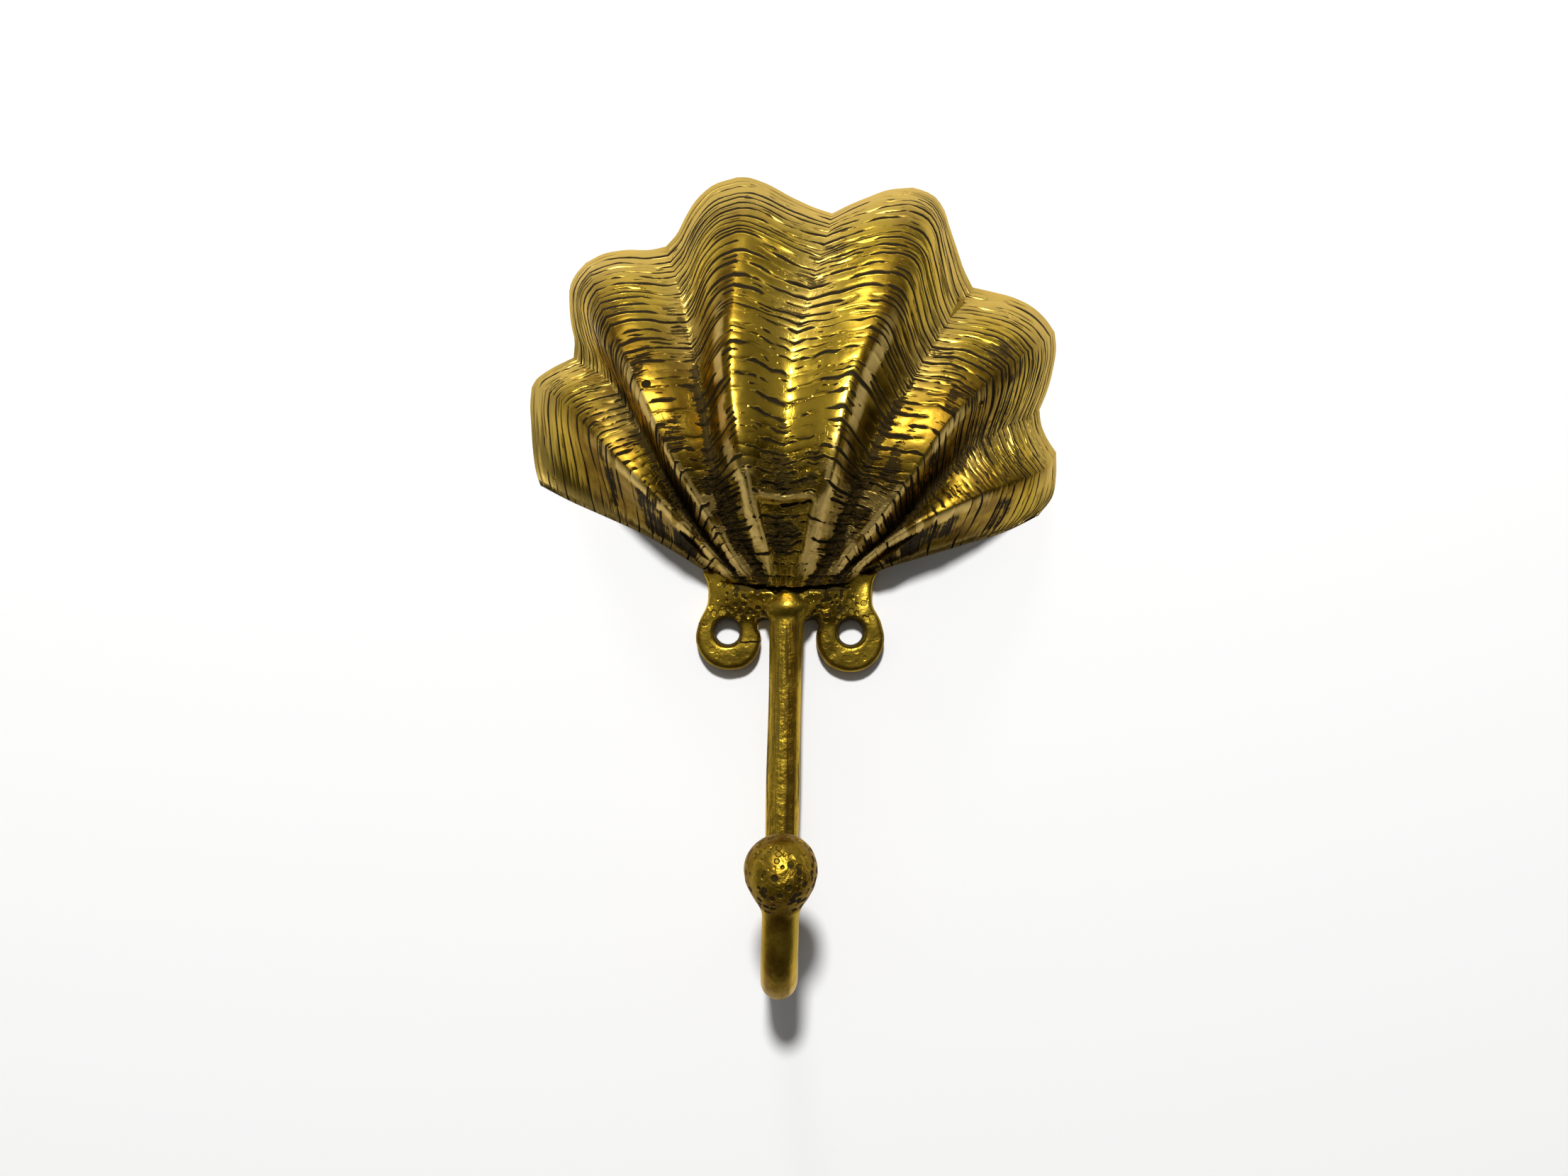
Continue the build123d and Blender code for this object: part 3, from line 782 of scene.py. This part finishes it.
    # near black for dirt, strokes, pits and flaws, and near black painted shade in the neck's crease,
    # the tops of the gaps and the screw holes
    colour = n.mix(dirt_and_shade, tone, DIRT_AND_SHADE)
    metal = n.plus(n.ramp(dirt_and_shade, 0.2, 1.0, 1.0, 0.15), (rubbed_and_sheen_, -0.16))
    rough = n.plus(
        n.ramp(patch, 0.3, 0.7, 0.22, 0.34),
        (dirt_and_shade, 0.4), (rubbed_and_sheen_, 0.22), (cast_, 0.1), (rod_, 0.14), (patina_and_shade_, 0.12),
    )
    height = n.plus(
        n.times(stroke, -1.0), (hatch, -0.6), (pits, -3.5), (deep, -0.5), (flaw, -4.0),
        (n.centred(lumps), 0.3), (grain, n.times(cast_, 2.6)), (n.times(streak, rod_), 1.6),
        (n.times(grain, rod_), 1.8), (n.centred(fine), 0.14),
    )
    bump = n.add("ShaderNodeBump", {"Height": height, "Strength": 1.0, "Distance": 0.00018})
    shader = n.add(
        "ShaderNodeBsdfPrincipled",
        {"Base Color": colour, "Metallic": metal, "Roughness": rough, "Normal": bump.outputs[0],
         "Specular IOR Level": 0.12, "Specular Tint": GLINT},
    )
    n.add("ShaderNodeOutputMaterial", {"Surface": shader.outputs[0]})
    return material


scallop.data.materials.clear()
scallop.data.materials.append(brass())
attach(scallop, "root")
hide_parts("scallop_hook")

# The white wall, just behind the hook. It has an opening within the hook's outline, so that the
# hollow shows from behind.
WALL_GAP = 0.15
WALL_REACH = 1600.0
HOLE_COVER_R = 3.2            # the wall shows through the two screw holes
row_steps = range(0, front.shape[0], 26)
row_steps_back = range(front.shape[0] - 1, 0, -26)
opening = [(front[i, 0, 0] * 0.97, front[i, 0, 1] + 0.6) for i in row_steps]
opening += [tuple(CENTRE + (front[-1, j, :2] - CENTRE) * 0.985) for j in range(0, total, 5)]
opening += [(front[i, -1, 0] * 0.97, front[i, -1, 1] + 0.6) for i in row_steps_back]
# then under the neck and round the two ears, left to right
corners = ([(-15.2, 7.6)], [(-6.2, 4.2), (6.2, 4.2)])
for (ear_x, ear_z, ear_r), first, corner in zip(EARS, (125, 165), corners):
    turns = np.radians(np.linspace(first, first + 250, 16))
    arc_r = ear_r - 0.6
    opening += corner
    opening += list(zip(ear_x + arc_r * np.cos(turns), ear_z + arc_r * np.sin(turns)))
opening += [(15.4, 7.6)]
square = [(x * WALL_REACH, z * WALL_REACH) for x, z in ((-1, -1), (1, -1), (1, 1), (-1, 1))]
wall_points = square + opening
wall_faces = tessellate_polygon([[Vector((x, z, 0)) for x, z in way] for way in (square, opening)])
wall_faces = [list(face) for face in wall_faces]
turns = np.radians(np.arange(0, 360, 15))
for hole_x in (-HOLE_X, HOLE_X):
    wall_faces.append(list(range(len(wall_points), len(wall_points) + len(turns))))
    disc = zip(hole_x + HOLE_COVER_R * np.cos(turns), HOLE_COVER_R * np.sin(turns))
    wall_points += list(disc)
wall_mesh = bpy.data.meshes.new("wall")
wall_mesh.from_pydata(
    [(x * METRE, WALL_GAP * METRE, z * METRE) for x, z in wall_points], [], wall_faces
)
wall = bpy.data.objects.new("wall", wall_mesh)
bpy.context.scene.collection.objects.link(wall)
for polygon in wall_mesh.polygons:
    if polygon.normal.y > 0:
        polygon.flip()


def wall_white():
    """Matt white from in front, and clear from behind."""
    paint = bpy.data.materials.new("wall_white")
    paint.use_nodes = True
    n = Nodes(paint.node_tree)
    white = n.add(
        "ShaderNodeBsdfPrincipled", {"Base Color": (0.9, 0.9, 0.9, 1), "Roughness": 0.75}
    )
    clear = n.add("ShaderNodeBsdfTransparent")
    behind = n.add("ShaderNodeNewGeometry").outputs["Backfacing"]
    n.add("ShaderNodeOutputMaterial", {"Surface": n.choose(behind, white, clear).outputs[0]})
    return paint


wall_mesh.materials.append(wall_white())


def lamp(name, elevation, azimuth, distance, size, power):
    """A round area lamp aimed at the hook; azimuth is degrees to the left of straight ahead."""
    e, a = math.radians(elevation), math.radians(azimuth)
    aim = Vector((0, -0.012, 0.02))
    data = bpy.data.lights.new(name, "AREA")
    data.shape, data.size, data.energy = "DISK", size, power
    thing = bpy.data.objects.new(name, data)
    bpy.context.scene.collection.objects.link(thing)
    way = Vector((-math.sin(a) * math.cos(e), -math.cos(a) * math.cos(e), math.sin(e)))
    thing.location = aim + way * distance
    thing.rotation_euler = (-way).to_track_quat("-Z", "Y").to_euler()


def room():
    """A dim room in front, darker low down and behind. The background itself is plain white."""
    world = bpy.data.worlds.new("room")
    world.use_nodes = True
    n = Nodes(world.node_tree)
    direction = n.add("ShaderNodeTexCoord").outputs["Generated"]
    x, y, z = n.add("ShaderNodeSeparateXYZ", {"Vector": direction}).outputs
    level = n.ramp(z, -0.55, 0.42, 0.015, 0.29)
    level = n.plus(level, (x, -0.06), (n.ramp(x, 0.65, 0.95, 0.0, 0.15), -1.0))
    level = n.most(n.times(level, n.ramp(y, -0.05, -0.35, 0.12, 1.0)), 0.02)
    light = n.add("ShaderNodeBackground", {"Color": (1, 0.985, 0.96, 1), "Strength": level})
    plain = n.add("ShaderNodeBackground", {"Color": (1, 1, 1, 1), "Strength": 1.0})
    ray = n.add("ShaderNodeLightPath").outputs
    mirrored = n.most(ray["Is Glossy Ray"], ray["Is Transmission Ray"])
    seen = n.most(ray["Is Camera Ray"], n.times(mirrored, n.ramp(y, 0.0, 0.1)))
    n.add("ShaderNodeOutputWorld", {"Surface": n.choose(seen, light, plain).outputs[0]})
    return world


# A lamp over the camera casts the shadows, one is higher up and one lights the back
lamp("key", 34, 3, 1.8, 0.2, 36.5)
lamp("ceiling", 68, 18, 1.6, 0.3, 3)
lamp("behind", 35, 150, 1.4, 0.6, 12)
bpy.context.scene.world = room()

# The camera stands in front of the neck and looks straight at the wall
camera_data = bpy.data.cameras.new("camera")
camera_data.sensor_width = 36.0
camera_data.lens = 27.03
camera_data.clip_start = 0.01
camera = bpy.data.objects.new("camera", camera_data)
bpy.context.scene.collection.objects.link(camera)
camera.location = Vector((-1.0, -231.0, 8.6)) * METRE
camera.rotation_euler = (math.radians(90), 0, 0)
bpy.context.scene.camera = camera
bpy.context.scene.view_settings.view_transform = "Standard"
